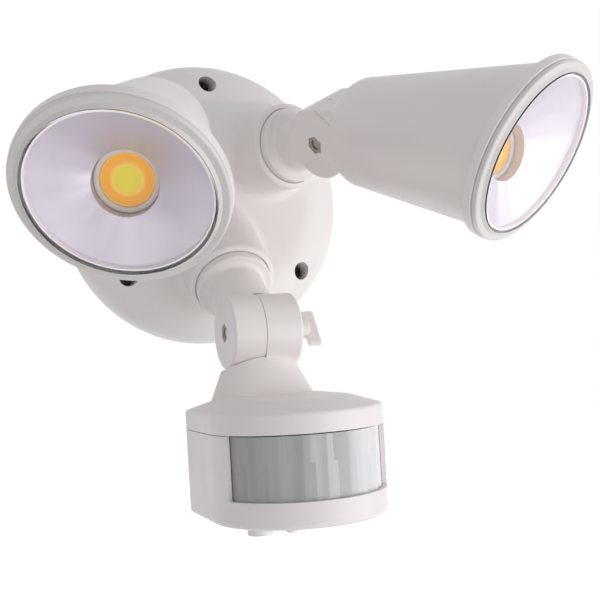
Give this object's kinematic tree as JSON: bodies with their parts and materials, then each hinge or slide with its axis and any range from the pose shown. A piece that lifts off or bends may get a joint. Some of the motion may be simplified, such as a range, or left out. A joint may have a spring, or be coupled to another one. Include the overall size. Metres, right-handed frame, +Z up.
{
  "type": "motion sensor security light",
  "caption": "Wall security light: domed round base, two swivelling and tilting cone-shaped LED lamps on stub arms, and a tilting motion sensor head below.",
  "frame": {"origin": "centre of the base's back face, on the wall", "axes": "+Y into the wall, +Z up, +X to the right as seen from in front"},
  "size_m": [0.2398, 0.2271, 0.231],
  "materials": {
    "housing": "warm white moulded ABS, satin",
    "inner_plastic": "plain moulded ABS, hidden side",
    "clear_lens": "clear polycarbonate",
    "fresnel": "translucent moulded polyethylene with vertical lens strips",
    "reflector": "metallised plastic, pale satin",
    "phosphor": "yellow phosphor on a chip-on-board LED",
    "aluminium": "plain",
    "steel": "zinc plated",
    "rubber": "black, matte",
    "circuit_board": "green solder mask",
    "dark_plastic": "black moulded"
  },
  "bodies": {
    "base": {"wall_gasket": "rubber", "wall_plate": "inner_plastic", "base_cover": "housing", "cover_screws": "steel", "cable_grommet": "rubber", "control_board": "circuit_board", "led_driver": "dark_plastic", "relay": "dark_plastic", "terminal_block": "dark_plastic", "terminal_screws": "steel"},
    "left_arm": {"left_lamp_arm": "housing", "left_lamp_arm_seal": "rubber", "left_lamp_arm_nut": "inner_plastic", "left_lamp_hinge_nut": "steel", "left_hinge_bolt": "steel"},
    "left_lamp": {"left_shell": "housing", "left_bezel": "housing", "left_lens": "clear_lens", "left_lens_seal": "rubber", "left_reflector": "reflector", "left_led_board": "aluminium", "left_led_chip": "phosphor", "left_heat_sink": "aluminium"},
    "right_arm": {"right_lamp_arm": "housing", "right_lamp_arm_seal": "rubber", "right_lamp_arm_nut": "inner_plastic", "right_lamp_hinge_nut": "steel", "right_hinge_bolt": "steel"},
    "right_lamp": {"right_shell": "housing", "right_bezel": "housing", "right_lens": "clear_lens", "right_lens_seal": "rubber", "right_reflector": "reflector", "right_led_board": "aluminium", "right_led_chip": "phosphor", "right_heat_sink": "aluminium"},
    "sensor_arm": {"sensor_arm": "housing", "sensor_arm_seal": "rubber", "sensor_arm_nut": "inner_plastic", "sensor_hinge_nut": "steel"},
    "sensor_head": {"sensor_cap": "housing", "sensor_case": "housing", "fresnel_lens": "fresnel", "sensor_board": "circuit_board", "pyro_sensor": "aluminium", "trimmers": "dark_plastic"},
    "wing_bolt": {"wing_bolt": "housing"},
    "time_dial": {"time_dial": "housing"},
    "dusk_dial": {"dusk_dial": "housing"}
  },
  "joints": [
    {"name": "left_arm_swivel", "type": "hinge", "parent": "base", "child": "left_arm", "pos_m": [-0.0338, -0.0609, 0.0228], "axis": [-0.2688, -0.9629, -0.0244], "range_deg": [-60, 60]},
    {"name": "left_lamp_tilt", "type": "hinge", "parent": "left_arm", "child": "left_lamp", "pos_m": [-0.04356, -0.09585, 0.02191], "axis": [0.9341, -0.2545, -0.2503], "range_deg": [-26, 27]},
    {"name": "right_arm_swivel", "type": "hinge", "parent": "base", "child": "right_arm", "pos_m": [0.0338, -0.0609, 0.0228], "axis": [0.2688, -0.9629, -0.0244], "range_deg": [-60, 60]},
    {"name": "right_lamp_tilt", "type": "hinge", "parent": "right_arm", "child": "right_lamp", "pos_m": [0.04356, -0.09585, 0.02191], "axis": [0.8612, 0.2289, 0.4539], "range_deg": [-20, 34]},
    {"name": "sensor_arm_swivel", "type": "hinge", "parent": "base", "child": "sensor_arm", "pos_m": [0, -0.057, -0.046], "axis": [0, -0.7793, -0.6266], "range_deg": [-45, 45]},
    {"name": "sensor_tilt", "type": "hinge", "parent": "sensor_arm", "child": "sensor_head", "pos_m": [0, -0.08794, -0.07088], "axis": [1, 0, 0], "range_deg": [-35, 30]},
    {"name": "wing_bolt_turn", "type": "hinge", "parent": "sensor_arm", "child": "wing_bolt", "pos_m": [0, -0.08794, -0.07088], "axis": [1, 0, 0], "range_deg": [-360, 360]},
    {"name": "time_dial_turn", "type": "hinge", "parent": "sensor_head", "child": "time_dial", "pos_m": [-0.02, -0.13994, -0.15048], "axis": [0, 0, 1], "range_deg": [-135, 135]},
    {"name": "dusk_dial_turn", "type": "hinge", "parent": "sensor_head", "child": "dusk_dial", "pos_m": [-0.0061, -0.13994, -0.15048], "axis": [0, 0, 1], "range_deg": [-135, 135]}
  ]
}
